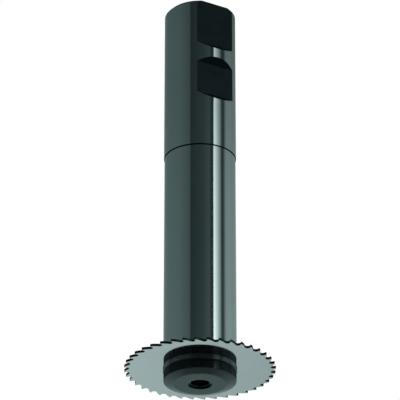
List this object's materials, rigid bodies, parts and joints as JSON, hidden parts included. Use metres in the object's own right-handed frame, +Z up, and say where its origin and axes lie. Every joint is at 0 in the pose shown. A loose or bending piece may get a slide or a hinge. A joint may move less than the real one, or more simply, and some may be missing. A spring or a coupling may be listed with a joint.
{
  "type": "saw blade arbor",
  "caption": "Straight-shank arbor with clamping flats that carries a thin circular slitting saw blade between its body and a blackened flanged clamping screw.",
  "frame": {"origin": "centre of the clamping screw's flat face, on the arbor's axis, the lowest point", "axes": "+Z runs up the axis to the shank's free end; the two clamping flats of the shank face -Y"},
  "size_m": [0.0506, 0.0506, 0.1419],
  "materials": {
    "ground_steel": "fine ground, satin to bright",
    "saw_steel": "ground bright, near mirror",
    "blackened_ring": "black oxide, fine turned",
    "blackened_screw": "black oxide, fine turned"
  },
  "bodies": {
    "root": {"arbor_body": "ground_steel", "saw_blade": "saw_steel", "clamping_ring": "blackened_ring", "clamping_screw": "blackened_screw"}
  },
  "joints": []
}
